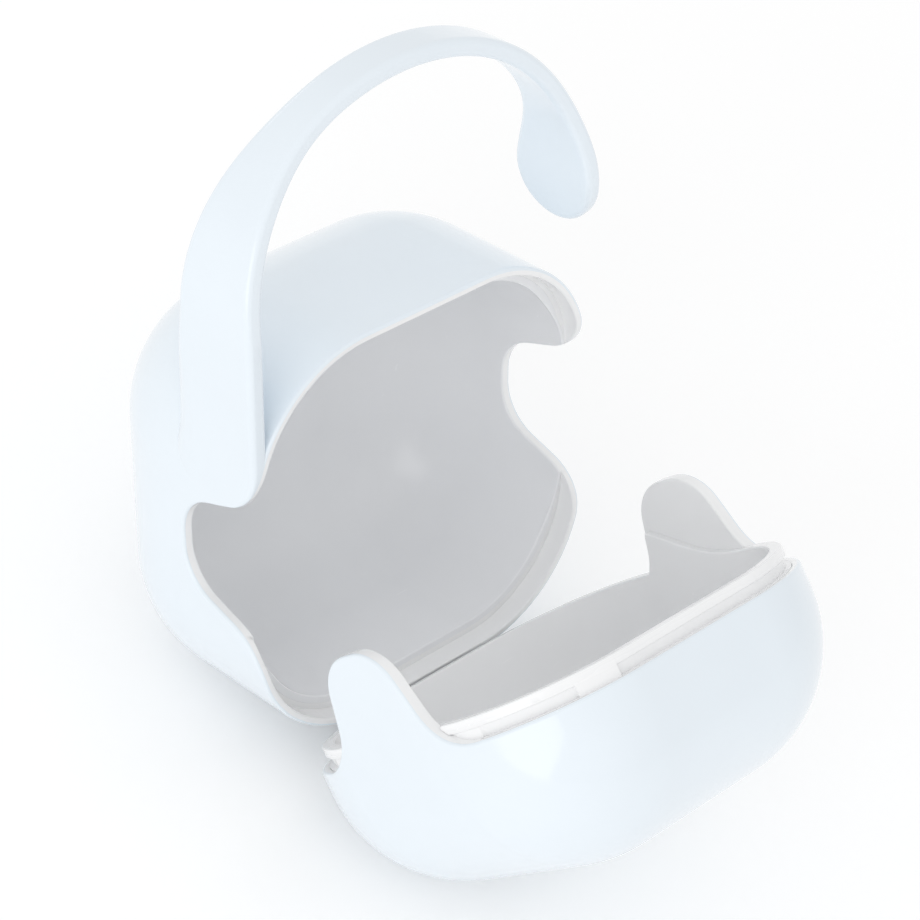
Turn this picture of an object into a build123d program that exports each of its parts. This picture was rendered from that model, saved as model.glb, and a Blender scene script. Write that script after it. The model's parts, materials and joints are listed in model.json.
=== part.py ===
from build123d import *
import math
import os

# A pacifier case: two rounded halves on a hinge, with a carrying hook moulded on one flank.
# It is modelled closed and upright, in millimetres, and then opened and leaned back to the
# pose in which it rests. While closed: X runs along the hinge, +Y points into the body,
# -Y into the lid, Z is up, and the origin is the middle of the body's rim.

# Outside form
case_width = 66.0
case_height = 66.0
body_depth = 41.5
lid_depth = 25.5
corner_radius = 21.5
rim_gap = 0.3
edge_radius = 0.4

# Walls
shell_wall = 2.2
rim_wall = 1.3
liner_wall = 1.15
liner_gap = 0.05

# Rim of the body, which takes the lid's lip
rabbet_depth = 3.3
liner_setback = 1.8

# Lip of the lid, with its snap bead and the groove below the bead
lip_height = 2.9
bead_foot = 1.6
bead_clearance = 0.15
groove_step = 0.4
flange_depth = 2.0
bead_relief_half = 25.0

# Filled stretch of the groove, which snaps shut
catch_left = -20.5
catch_right = -14.0

# Bell-shaped ears of the lid and the notches that take them
bell_centre = 0.7
bell_height = 16.1
bell_foot_half = 11.9
bell_top_half = 6.6
bell_foot_radius = 8.9
bell_top_radius = 7.6
bell_clearance = 0.15

# Raised edge of the lid's liner behind each ear
bump_centre = -2.0
bump_height = 4.5
bump_foot_half = 9.2
bump_top_half = 1.0
bump_foot_radius = 14.0
bump_top_radius = 3.0

# Hinge
open_angle = 52.8
hinge_drop = 1.9
hinge_set_back = 1.7
barrel_radius = 1.6
pin_radius = 0.8
pin_clearance = 0.02
bore_clearance = 0.05
lid_knuckle_half = 3.7
knuckle_gap = 0.3
body_knuckle_length = 5.0
pin_end_recess = 0.1
blind_wall = 0.8
stop_radius = 2.8
stop_clearance = 0.02
arm_root = 6.0
arm_embed = 0.8
under_gap = 0.3

# Carrying hook
strap_thick = 2.8
strap_edge = 1.0
arch_half_span = 33.87
arch_rise = 29.1
arch_height = 41.2
flare_radius = 46.0
tip_drop = 9.2
strap_middle = 7.4
crown_half = 3.4
crown_length = 3.3
shoulder_height = 59.0
shoulder_half = 4.8
leg_height = 42.0
leg_front = 0.15
leg_back = 14.7
root_height = 24.0
root_back = 16.8
root_taper = 0.1
wrist_height = 48.9
wrist_half = 5.4
paddle_height = 39.7
paddle_half = 7.7

# Reach of a cutting block, well past every side of the case
reach = 200.0

half_width = case_width / 2
half_height = case_height / 2
flat_half_width = half_width - corner_radius
hinge_y = hinge_set_back
hinge_z = -half_height - hinge_drop
bell_slope = math.atan2(bell_height, bell_foot_half - bell_top_half)
liner_outer = shell_wall + liner_gap
liner_inner = liner_outer + liner_wall
bead_inset = rim_wall + bead_clearance
groove_inset = bead_inset + groove_step
lid_rim = -rim_gap
arch_top = arch_height + arch_rise
crown_height = arch_top - crown_length
leg_start = half_height - corner_radius
front_crown = strap_middle - crown_half
back_crown = strap_middle + crown_half


def pebble(inset):
    """The closed case as one block with every edge rounded, taken in by a given depth."""
    depth = body_depth + lid_depth
    block = Box(case_width - 2 * inset, depth - 2 * inset, case_height - 2 * inset)
    rounded = fillet(block.edges(), corner_radius - inset)
    return Pos(0, (body_depth - lid_depth) / 2, 0) * rounded


def slab(y_low, y_high):
    """All space between two planes that are parallel to the rim."""
    return Pos(0, (y_low + y_high) / 2, 0) * Box(reach, y_high - y_low, reach)


def shell_between(outer_inset, inner_inset):
    """A wall that follows the case's form between two depths below its surface."""
    return pebble(outer_inset) - pebble(inner_inset)


def bell_outline(base, height, foot_half, top_half, foot_radius, top_radius, grow):
    """A bell standing on a straight rim: the flanks, foot and top move out together by grow."""
    slope = math.atan2(height, foot_half - top_half)
    foot = foot_half + grow / math.sin(slope)
    top = foot - (height + grow) / math.tan(slope)
    far = reach / 2
    path = FilletPolyline(
        (base, -far),
        (base, -foot),
        (base + height + grow, -top),
        (base + height + grow, top),
        (base, foot),
        (base, far),
        radius=[foot_radius - grow, top_radius + grow, top_radius + grow, foot_radius - grow],
    )
    back = Polyline((base, far), (base - far, far), (base - far, -far), (base, -far))
    return Plane.YZ * make_face(path.edges() + back.edges())


def bell_block(base, grow):
    """Everything on the lid's side of the rim, with the bell, right across the case."""
    outline = bell_outline(
        base, bell_height - base, bell_foot_half, bell_top_half, bell_foot_radius, bell_top_radius, grow
    )
    return Pos(0, 0, bell_centre) * extrude(outline, amount=reach / 2, both=True)


def bump_block():
    """The lip's side of its crest, with a low bump behind each ear."""
    outline = bell_outline(
        lip_height, bump_height, bump_foot_half, bump_top_half, bump_foot_radius, bump_top_radius, 0
    )
    return Pos(0, 0, bump_centre) * extrude(outline, amount=reach / 2, both=True)


def outside_edges(block):
    """The rim and bell edges that lie on the outer surface of a half."""
    bell_reach = bell_height + 2 * bell_clearance
    near_rim = block.edges().filter_by(
        lambda e: e.bounding_box().min.Y > lid_rim - rim_gap and e.bounding_box().max.Y < bell_reach
    )
    return near_rim.filter_by(
        lambda e: abs(e.center().X) > flat_half_width or abs(e.center().Z) > half_height - edge_radius
    )


def strap_band():
    """Front view of the hook: a straight leg, a half ellipse and a short flared end."""
    leg_outer = -half_width
    leg_inner = leg_outer + strap_thick
    middle = leg_outer + arch_half_span
    inner_span = arch_half_span - strap_thick
    inner_rise = arch_rise - strap_thick
    turn = math.degrees(math.asin(tip_drop / flare_radius))
    spring = (middle, arch_height)
    down = (0, -1)
    outer_leg = Line((leg_outer, leg_start), (leg_outer, arch_height))
    outer_arch = EllipticalCenterArc(spring, arch_half_span, arch_rise, start_angle=0, arc_size=180)
    outer_end = JernArc((middle + arch_half_span, arch_height), down, flare_radius - strap_thick / 2, turn)
    inner_end = JernArc((middle + inner_span, arch_height), down, flare_radius + strap_thick / 2, turn)
    inner_arch = EllipticalCenterArc(spring, inner_span, inner_rise, start_angle=0, arc_size=180)
    inner_leg = Line((leg_inner, arch_height), (leg_inner, leg_start))
    foot = Line((leg_inner, leg_start), (leg_outer, leg_start))
    tip = Line(outer_end @ 1, inner_end @ 1)
    return Plane.XZ * make_face(
        [outer_leg, outer_arch, outer_end, tip, inner_end, inner_arch, inner_leg, foot]
    )


def leg_side():
    """Side view of the leg and the near half of the arch: it narrows all the way to the crown."""
    peak = arch_top + strap_edge
    foot_back = root_back + root_taper * (root_height - leg_start)
    front = Spline(
        (0, root_height),
        (leg_front, leg_height),
        (strap_middle - shoulder_half, shoulder_height),
        (front_crown, crown_height),
        tangents=((0, 1), (0, 1)),
    )
    back = Spline(
        (back_crown, crown_height),
        (strap_middle + shoulder_half, shoulder_height),
        (leg_back, leg_height),
        (root_back, root_height),
        tangents=((0, -1), (root_taper, -1)),
    )
    return Plane.YZ * make_face([
        Line((0, leg_start), (0, root_height)),
        front,
        Line((front_crown, crown_height), (front_crown, peak)),
        Line((front_crown, peak), (back_crown, peak)),
        Line((back_crown, peak), (back_crown, crown_height)),
        back,
        Line((root_back, root_height), (foot_back, leg_start)),
        Line((foot_back, leg_start), (0, leg_start)),
    ])


def paddle_side():
    """Side view of the far half of the arch: it widens into a round-ended paddle."""
    peak = arch_top + strap_edge
    front = Spline(
        (front_crown, crown_height),
        (strap_middle - wrist_half, wrist_height),
        (strap_middle - paddle_half, paddle_height),
        tangents=((0, -1), (0, -1)),
    )
    back = Spline(
        (strap_middle + paddle_half, paddle_height),
        (strap_middle + wrist_half, wrist_height),
        (back_crown, crown_height),
        tangents=((0, 1), (0, 1)),
    )
    end = ThreePointArc(
        (strap_middle - paddle_half, paddle_height),
        (strap_middle, paddle_height - paddle_half),
        (strap_middle + paddle_half, paddle_height),
    )
    return Plane.YZ * make_face([
        front,
        end,
        back,
        Line((back_crown, crown_height), (back_crown, peak)),
        Line((back_crown, peak), (front_crown, peak)),
        Line((front_crown, peak), (front_crown, crown_height)),
    ])


def carrying_hook():
    """The strap band, cut to its two side views and rounded along its edges."""
    middle = arch_half_span - half_width
    band = extrude(strap_band(), amount=reach / 2, both=True)
    near_half = Pos(middle, 0, 0) * extrude(leg_side(), amount=-reach / 2)
    far_half = Pos(middle, 0, 0) * extrude(paddle_side(), amount=reach / 2)
    strap = band & (near_half + far_half)
    long_edges = strap.edges().filter_by(lambda e: e.length > strap_thick + strap_edge / 2)
    return fillet(long_edges, strap_edge)


def hinge_cylinder(radius, x_low, x_high):
    """A round bar or bore on the hinge axis."""
    bar = extrude(Plane.YZ * Circle(radius), amount=x_high - x_low)
    return Pos(x_low, hinge_y, hinge_z) * bar


def body_knuckle(x_low, x_high):
    """A hinge barrel with a web up into the body's bottom wall."""
    web_front = hinge_y - barrel_radius
    web_back = hinge_y + barrel_radius
    web_top = -half_height + rim_wall / 2
    web = Plane.YZ * make_face(Polyline(
        (web_front, hinge_z), (web_front, web_top), (web_back, web_top), (web_back, hinge_z),
        close=True,
    ).edges())
    return hinge_cylinder(barrel_radius, x_low, x_high) + Pos(x_low, 0, 0) * extrude(web, amount=x_high - x_low)


def lid_knuckle():
    """The middle barrel, its arm into the lid's bottom wall and the heel that stops the lid."""
    under = -half_height - under_gap
    inside = -half_height + arm_embed
    low = hinge_z - barrel_radius
    arm = Plane.YZ * make_face(Polyline(
        (hinge_y, low),
        (hinge_y, under),
        (lid_rim, under),
        (lid_rim, inside),
        (lid_rim - arm_root, inside),
        (lid_rim - arm_root, -half_height),
        (lid_rim - arm_root / 2, (low + under) / 2),
        close=True,
    ).edges())
    # The heel's flat comes up under the body's bottom wall when the lid is open.
    turn = math.radians(open_angle)
    flat = hinge_drop - stop_clearance
    flat_half = math.sqrt(stop_radius ** 2 - flat ** 2)
    flat_foot = (hinge_y + flat * math.sin(turn), hinge_z + flat * math.cos(turn))
    corner = (flat_foot[0] + flat_half * math.cos(turn), flat_foot[1] - flat_half * math.sin(turn))
    heel = Plane.YZ * make_face(Polyline(
        (hinge_y, hinge_z), flat_foot, corner, (hinge_y + barrel_radius, hinge_z - barrel_radius / 2),
        close=True,
    ).edges())
    width = 2 * lid_knuckle_half
    barrel = hinge_cylinder(barrel_radius, -lid_knuckle_half, lid_knuckle_half)
    return barrel + Pos(-lid_knuckle_half, 0, 0) * (extrude(arm, amount=width) + extrude(heel, amount=width))


def make_body_shell():
    """Outer moulding of the body, with the notches, the rabbet, the hook and two knuckles."""
    inner_end = lid_knuckle_half + knuckle_gap
    outer_end = inner_end + body_knuckle_length
    half = (pebble(0) & slab(0, reach)) - bell_block(0, bell_clearance)
    half = fillet(outside_edges(half), edge_radius)
    half = half + (carrying_hook() - bell_block(0, bell_clearance)) - pebble(shell_wall)
    half = half - (pebble(rim_wall) & slab(lid_rim, rabbet_depth))
    half = half + body_knuckle(-outer_end, -inner_end) + body_knuckle(inner_end, outer_end)
    bore = hinge_cylinder(pin_radius + pin_clearance, -outer_end - knuckle_gap, outer_end - blind_wall)
    return half - bore


def make_body_liner():
    """Inner cup of the body, set back from the rabbet and the notches."""
    cup = shell_between(liner_outer, liner_inner) & slab(rabbet_depth + rim_gap, reach)
    return cup - bell_block(0, liner_setback)


def make_lid_shell():
    """Outer moulding of the lid, with its two ears and the middle knuckle."""
    half = pebble(0) & bell_block(lid_rim, -bell_clearance)
    half = fillet(outside_edges(half), edge_radius)
    half = half - pebble(shell_wall)
    half = half - (pebble(rim_wall) & slab(lid_rim - flange_depth, 0) - ear_zone())
    half = half + lid_knuckle()
    bore_end = lid_knuckle_half + knuckle_gap
    return half - hinge_cylinder(pin_radius + bore_clearance, -bore_end, bore_end)


def ear_zone():
    """The stretch of each flank in which the lid's wall keeps its full thickness under the ear."""
    half = bell_foot_half + bell_foot_radius * math.tan(bell_slope / 2)
    return Pos(0, 0, bell_centre) * Box(reach, reach, 2 * half)


def make_lid_liner():
    """Inner cup of the lid, whose lip stands out of the rim with its bead, groove and catch."""
    seam = rim_wall + liner_gap
    cup = shell_between(liner_outer, liner_inner) & bump_block()
    lip = shell_between(groove_inset, liner_inner) & slab(lid_rim, lip_height)
    bead = shell_between(bead_inset, liner_inner) & slab(bead_foot, lip_height)
    bead = bead - Pos(0, 0, -half_height) * Box(2 * bead_relief_half, reach, half_height)
    catch = shell_between(bead_inset, liner_inner) & slab(lid_rim, bead_foot)
    catch_length = catch_right - catch_left
    catch = catch & Pos((catch_left + catch_right) / 2, 0, half_height) * Box(catch_length, reach, case_height)
    ears = bell_block(lid_rim, 0) - pebble(liner_outer)
    flange = shell_between(seam, liner_inner) & slab(lid_rim - flange_depth + liner_gap, lid_rim)
    flange = flange - (ear_zone() - pebble(liner_outer))
    lip = (lip + bead + catch) & slab(lid_rim, reach) - ears
    return cup + lip + flange


def make_hinge_pin():
    """The plain pin, pushed in from the open end until it meets the blind knuckle."""
    outer_end = lid_knuckle_half + knuckle_gap + body_knuckle_length
    return hinge_cylinder(pin_radius, -outer_end + pin_end_recess, outer_end - blind_wall - pin_end_recess)


def opened(shape):
    """The lid's pieces, swung open about the hinge."""
    return Pos(0, hinge_y, hinge_z) * Rot(open_angle, 0, 0) * Pos(0, -hinge_y, -hinge_z) * shape


def resting_lean():
    """The lean at which the body's back corner and the lid's front corner share one floor."""
    turn = math.radians(open_angle)
    corner_rise = corner_radius + hinge_drop
    body_y = body_depth - corner_radius - hinge_y
    lid_y = -lid_depth + corner_radius - hinge_y
    lid_open_y = lid_y * math.cos(turn) - corner_rise * math.sin(turn)
    lid_open_z = lid_y * math.sin(turn) + corner_rise * math.cos(turn)
    return math.degrees(math.atan2(corner_rise - lid_open_z, body_y - lid_open_y))


body_parts = {
    "body_shell": make_body_shell(),
    "body_liner": make_body_liner(),
    "hinge_pin": make_hinge_pin(),
}
lid_parts = {
    "lid_shell": opened(make_lid_shell()),
    "lid_liner": opened(make_lid_liner()),
}

# Lean the open case back, stand it on the floor and centre it over the origin.
lean = resting_lean()
parts = {name: Rot(-lean, 0, 0) * shape for name, shape in {**body_parts, **lid_parts}.items()}
box = Compound(children=[Part() + shape for shape in parts.values()]).bounding_box()
shift = Pos(-box.center().X, -box.center().Y, -box.min.Z)

os.makedirs("parts", exist_ok=True)
for name, shape in parts.items():
    placed = shift * shape
    export_step(placed, "parts/" + name + ".step")
    print(name, "solids", len(placed.solids()), "volume", round(placed.volume, 1))

hinge = shift * Rot(-lean, 0, 0) * Pos(0, hinge_y, hinge_z)
print("lean", round(lean, 4), "hinge at", [round(v, 4) for v in tuple(hinge.position)])
print("rim centre at", [round(v, 4) for v in tuple((shift * Rot(-lean, 0, 0)).position)])
print("box", [round(v, 3) for v in tuple(box.size)])
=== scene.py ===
import json
import math

import bmesh
import bpy
import numpy as np
from bpy.props import FloatProperty, FloatVectorProperty, PointerProperty
from bpy.types import Operator, Panel, PropertyGroup
from mathutils import Euler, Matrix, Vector


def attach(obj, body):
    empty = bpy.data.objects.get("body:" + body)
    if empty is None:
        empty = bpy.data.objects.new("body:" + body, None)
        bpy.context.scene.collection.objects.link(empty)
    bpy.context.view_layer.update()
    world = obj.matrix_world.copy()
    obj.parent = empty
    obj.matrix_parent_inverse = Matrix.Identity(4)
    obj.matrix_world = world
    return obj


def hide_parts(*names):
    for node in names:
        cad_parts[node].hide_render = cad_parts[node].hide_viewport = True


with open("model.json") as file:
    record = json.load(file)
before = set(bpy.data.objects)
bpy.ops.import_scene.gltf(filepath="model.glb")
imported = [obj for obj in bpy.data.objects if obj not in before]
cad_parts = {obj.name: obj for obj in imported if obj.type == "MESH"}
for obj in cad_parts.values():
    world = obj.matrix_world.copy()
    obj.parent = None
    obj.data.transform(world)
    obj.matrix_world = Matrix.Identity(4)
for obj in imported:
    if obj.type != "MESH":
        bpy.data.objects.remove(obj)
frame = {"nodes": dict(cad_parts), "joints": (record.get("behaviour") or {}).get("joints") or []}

bl_info = {
    "name": "Pacifier case",
    "version": (1, 0, 0),
    "blender": (4, 5, 0),
    "location": "3D View > Sidebar > Case",
    "description": "Dresses a hinged pacifier case: two smooth mouldings, their liners, a carrying hook and a hinge",
    "category": "Object",
}

MM = 0.001
QUARTER = math.pi / 2
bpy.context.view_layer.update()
HINGE = frame["joints"][0]
OPEN_ANGLE = math.radians(HINGE["range_deg"][1])
WELD = 0.004 * MM  # points that are closer than this become one
SLIVER = 0.002 * MM  # edges that are shorter than this go
SHARP_ANGLE = math.radians(48)  # an edge that turns by more than this stays sharp
BEAD_WEAR = 0.6  # rub along the snap bead, where 1 is the most
STRAP_WEAR = 0.8  # rub along the strap's edges


def length(name, millimetres, description):
    """A size of the case, kept in metres."""
    return FloatProperty(
        name=name, description=description, default=millimetres * MM, precision=5, unit="LENGTH", subtype="DISTANCE"
    )


def lengths(name, millimetres, description):
    """Several places or sizes, kept in metres."""
    default = [value * MM for value in millimetres]
    return FloatVectorProperty(name=name, description=description, default=default, size=len(default), unit="LENGTH")


def share(name, default, description):
    """A value from 0 to 1."""
    return FloatProperty(name=name, description=description, default=default, min=0, max=1, subtype="FACTOR")


def colour(name, default, description):
    """A linear colour."""
    return FloatVectorProperty(name=name, description=description, default=default, min=0, max=1, subtype="COLOR")


def degrees(name, default, description):
    """An angle, kept in radians."""
    return FloatProperty(name=name, description=description, default=math.radians(default), subtype="ANGLE")


def number(name, default, description, unit="NONE"):
    """A value of any size, which may have a unit."""
    return FloatProperty(name=name, description=description, default=default, unit=unit)


class CaseSizes(PropertyGroup):
    """The two rounded halves, their walls and the lip."""

    width: length("Width", 66, "Across the flanks")
    height: length("Height", 66, "From the hinge side to the far side")
    body_depth: length("Body depth", 41.5, "From the rim to the body's back")
    lid_depth: length("Lid depth", 25.5, "From the rim to the lid's front")
    corner_radius: length("Corner radius", 21.5, "Of every outer edge of the closed case")
    rim_gap: length("Rim gap", 0.3, "Between the two rims when the case is shut")
    edge: length("Edge rounding", 0.45, "Of the rims' outer edges")
    soft_edge: length("Inner edge rounding", 0.28, "Of the rims' inner edges")
    shell_wall: length("Shell wall", 2.2, "Of both outer mouldings")
    rim_wall: length("Rim wall", 1.3, "Of the outer mouldings beside the lip")
    liner_wall: length("Liner wall", 1.15, "Of both inner cups")
    liner_gap: length("Liner gap", 0.05, "Between a shell and its liner")
    rabbet_depth: length("Rabbet depth", 3.3, "Of the step that takes the lip")
    notch_wall: length("Notch wall", 1.7, "Of shell and liner together at a notch's edge")
    thin_edge: length("Liner edge", 0.34, "Of the liner alone at a notch's edge")
    notch_from: length("Notch from", 1.2, "Height at which the rim's inner edge starts to sharpen")
    notch_over: length("Notch over", 1.8, "Height over which it becomes sharp")
    hairline: length("Hairline", 0.01, "Visible seam between a shell and its liner")
    lip_height: length("Lip height", 2.9, "Over the body's rim plane")
    bead_foot: length("Bead foot", 1.35, "Height at which the snap bead starts")
    bead_clearance: length("Bead clearance", 0.15, "Between the bead and the body's rim wall")
    groove_step: length("Groove step", 0.4, "Depth of the groove under the bead")
    undercut: length("Undercut", 0.45, "How much deeper the groove is at the shell's rim")
    flange_depth: length("Flange depth", 2.0, "Of the liner's flange inside the lid's rim")
    bead_relief: length("Bead relief", 25, "Half of the stretch at the hinge that has no bead")
    catch: lengths("Catch", (-20.5, -14), "Both ends of the groove's filled stretch")


class EarSizes(PropertyGroup):
    """The bell-shaped ears and notches, and the crest of the liner behind each ear."""

    centre: length("Ear centre", 0.7, "Above the middle of the rim")
    height: length("Ear height", 16.1, "Over the body's rim plane")
    foot_half: length("Ear foot", 11.9, "Half its width at the foot")
    top_half: length("Ear top", 6.6, "Half its width at the top, before rounding")
    foot_radius: length("Foot radius", 8.9, "Of the ear's inner corners")
    top_radius: length("Top radius", 7.6, "Of the ear's outer corners")
    clearance: length("Clearance", 0.15, "Round the ear, on each side of the outline")
    crest_place: lengths("Crest places", (-6.6, -1, 3.7, 13), "From its high end, towards the hinge, to the lip")
    crest_height: lengths("Crest heights", (9.15, 6.4, 4.3), "Of the liner's raised edge at the first three")
    crest_slope: number("Crest slope", -0.43, "At the crest's high end")
    thin_reach: number("Thin reach", 0.85, "Of the thin wall round a notch, 1 is the notch's own size")
    thin_fade: number("Thin fade", 1.1, "How much further the wall is full again")


class HookSizes(PropertyGroup):
    """The carrying hook: a leg, a half-elliptic arch and a flared paddle."""

    thick: length("Thickness", 2.8, "Of the strap")
    edge: length("Edge rounding", 1.0, "Of the strap's long edges")
    half_span: length("Half span", 33.87, "Of the arch, outside")
    rise: length("Rise", 29.1, "Of the arch, outside")
    spring: length("Spring height", 41.2, "Of the arch's feet")
    flare_radius: length("Flare radius", 46, "Of the paddle's outward curve")
    middle: length("Middle", 7.4, "Of the crown, behind the rim")
    crown_half: length("Crown half width", 3.4, "Half the strap's width at the crown")
    crown_length: length("Crown length", 3.3, "Height of the stretch that keeps that width")
    leg_height: lengths("Leg heights", (24, 42, 59), "Of its root on the body, its top and the shoulder")
    leg_front: lengths("Leg front", (0, 0.15, 2.6), "Of the strap's front edge at those heights")
    leg_back: lengths("Leg back", (16.8, 14.7, 12.2), "Of the strap's back edge at those heights")
    wrist_height: length("Wrist height", 48.9, "Where the paddle starts")
    wrist_half: length("Wrist half width", 5.4, "Half the strap's width there")
    paddle_height: length("Paddle height", 39.7, "Of the centre of the paddle's round end")
    paddle_half: length("Paddle half width", 7.7, "Half the paddle's width")
    sunk: length("Sunk", 0.004, "Below the body's faces where the strap is flush with them")
    soft_back: length("Soft back", 4.2, "Width of the back edge's rounding at the foot")
    soft_range: lengths("Softening", (20, 36), "Heights between which that rounding becomes the strap's own")
    soft_depth: share("Soft depth", 0.6, "Depth of that rounding, as a share of the thickness")
    root_slope: number("Root slope", -0.1, "Of the strap's back edge at its foot")


class HingeSizes(PropertyGroup):
    """The knuckles under the case."""

    drop: length("Drop", 1.9, "Of the hinge axis below the case")
    set_back: length("Set back", 1.7, "Of the hinge axis behind the rim")
    barrel: length("Barrel radius", 1.6, "Of every knuckle")
    bore: length("Bore radius", 0.82, "Of the open knuckle's hole")
    bore_depth: length("Bore depth", 1.2, "Of the open knuckle's hole")
    lid_half: length("Lid knuckle", 3.7, "Half its length")
    gap: length("Knuckle gap", 0.3, "Between neighbouring knuckles")
    body_length: length("Body knuckle", 5, "Length of each of the two")
    stop_radius: length("Stop radius", 2.8, "Of the heel that stops the lid")
    stop_clearance: length("Stop clearance", 0.02, "Between the heel and the body")
    arm_root: length("Arm root", 6, "Length of the arm under the lid")
    arm_embed: length("Arm embed", 0.8, "Depth of the arm in the lid's wall")
    under_gap: length("Under gap", 0.3, "Between the arm and the body's bottom")
    edge: length("Edge rounding", 0.2, "Of the knuckles' ends")
    heel_edge: length("Heel edge", 0.05, "Of the heel's ends")


class FinishChoices(PropertyGroup):
    """Colours and gloss of the mouldings and the pin. The outer mouldings' outer faces are tinted blue, which is
    painted bluish light, and their rims and inner faces are a lighter neutral, which is painted light; the lid's cup is
    painted lighter than the body's.
    """

    # Painted light: the blue tint stands for bluish light on the outer faces of the plastic.
    shell_and_blue_light_colour: colour("Shell colour and blue light", (0.838, 0.905, 0.962), "Outer mouldings and the hook")
    # Painted light: lighter and neutral, for the light that comes through the thin walls onto rims and inner faces.
    inner_painted_light_colour: colour("Inner painted light colour", (0.94, 0.945, 0.95), "Rims and inner faces of the outer mouldings")
    liner_colour: colour("Liner colour", (0.89, 0.90, 0.917), "The body's inner cup")
    # Painted light: the lid's cup and lip are the same plastic as the body's cup, painted lighter for the light on
    # them.
    lip_colour_painted_lighter: colour("Lip colour, painted lighter", (0.945, 0.95, 0.957), "The lid's inner cup and its lip")
    pin_colour: colour("Pin colour", (0.62, 0.63, 0.65), "Hinge pin")
    shell_gloss: share("Shell roughness", 0.16, "Roughness of the clean outer mouldings")
    liner_gloss: share("Liner roughness", 0.24, "Roughness of the clean inner cups")


class StudioChoices(PropertyGroup):
    """Floor, lamps and camera."""

    floor_colour: colour("Floor colour", (0.95, 0.952, 0.955), "As it lights the object")
    floor_lift: share("Floor lift", 0.10, "Brightness added to the floor where it is seen")
    sky: number("Sky", 0.87, "Light from all round")
    key: number("Key lamp", 1.9, "Large soft lamp on the left", "POWER")
    low: number("Low lamp", 0.03, "Small lamp behind, seen in the gloss", "POWER")
    camera_distance: length("Camera distance", 450, "From the middle of the body's rim")
    camera_azimuth: degrees("Camera azimuth", -55.64, "Round the object")
    camera_height: degrees("Camera height", 46.03, "Above the horizon")
    camera_roll: degrees("Camera roll", 18.71, "About the line of sight")
    lens: number("Lens", 120, "Focal length in millimetres", "CAMERA")
    shift_x: number("Shift X", 0.0348, "Sideways shift of the picture")
    shift_y: number("Shift Y", 0.0433, "Upward shift of the picture")


SETTINGS = {
    "case_sizes": CaseSizes,
    "case_ears": EarSizes,
    "case_hook": HookSizes,
    "case_hinge": HingeSizes,
    "case_finish": FinishChoices,
    "case_studio": StudioChoices,
}


# Places

def turn_x(points, angle):
    """Points turned about the X axis."""
    y, z = points[..., 1], points[..., 2]
    c, s = math.cos(angle), math.sin(angle)
    return np.stack([points[..., 0], y * c - z * s, y * s + z * c], -1)


def resting_lean(scene):
    """The lean at which the open case rests on the body's back corner and the lid's front corner."""
    size, hinge = scene.case_sizes, scene.case_hinge
    rise = size.corner_radius + hinge.drop
    body_y = size.body_depth - size.corner_radius - hinge.set_back
    lid_y = -size.lid_depth + size.corner_radius - hinge.set_back
    lid_open_y = lid_y * math.cos(OPEN_ANGLE) - rise * math.sin(OPEN_ANGLE)
    lid_open_z = lid_y * math.sin(OPEN_ANGLE) + rise * math.cos(OPEN_ANGLE)
    return math.atan2(rise - lid_open_z, body_y - lid_open_y)


def placed(scene, points, on_lid=False):
    """Points of the closed, upright case, moved to where the open case stands. The origin of the
    closed case is the middle of the body's rim, with X along the hinge and Y into the body."""
    size, hinge = scene.case_sizes, scene.case_hinge
    axis = np.array([0, hinge.set_back, -size.height / 2 - hinge.drop])
    moved = points - axis
    if on_lid:
        moved = turn_x(moved, OPEN_ANGLE)
    return turn_x(moved, -resting_lean(scene)) + np.array(HINGE["pos_m"])


# Meshes

def clean_mesh(name, points, faces, masks):
    """A mesh from points and faces, with a value for every point in each mask. Doubles are merged
    and the faces turned outward."""
    mesh = bpy.data.meshes.new(name)
    mesh.from_pydata(points, [], faces.tolist())
    for mask, values in masks.items():
        mesh.attributes.new(mask, "FLOAT", "POINT").data.foreach_set("value", values.astype(np.float32).ravel())
    build = bmesh.new()
    build.from_mesh(mesh)
    bmesh.ops.remove_doubles(build, verts=build.verts, dist=WELD)
    bmesh.ops.dissolve_degenerate(build, edges=build.edges, dist=SLIVER)
    if build.calc_volume(signed=True) < 0:
        bmesh.ops.reverse_faces(build, faces=build.faces)
    build.to_mesh(mesh)
    build.free()
    return mesh


def new_piece(name, points, faces, scene, on_lid, kind, edge=None, inner=None):
    """A smooth piece of plastic. edge and inner are the masks that the plastic reads; inner switches to the colour that
    is painted light.
    """
    blank = np.zeros(len(points))
    masks = {"edge": blank if edge is None else edge, "inner": blank if inner is None else inner}
    mesh = clean_mesh(name, placed(scene, points, on_lid), faces, masks)
    mesh.shade_smooth()
    mesh.set_sharp_from_angle(angle=SHARP_ANGLE)
    mesh.materials.append(plastic(scene, kind))
    piece = bpy.data.objects.new(name, mesh)
    scene.collection.objects.link(piece)
    piece.modifiers.new("Even shading", "WEIGHTED_NORMAL").keep_sharp = True
    return piece


def finish(piece, replaced, body):
    """Ties a new piece to its body and hides the node that it replaces."""
    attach(piece, body)
    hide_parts(replaced)


def tube_faces(rows, columns, first=0):
    """Quads between each row of points and the next, closed round the columns."""
    row = np.arange(rows - 1)[:, None] * columns
    here = np.arange(columns)[None, :]
    after = (here + 1) % columns
    quads = np.stack([row + here, row + after, row + columns + after, row + columns + here], -1)
    return quads.reshape(-1, 4) + first


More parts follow.
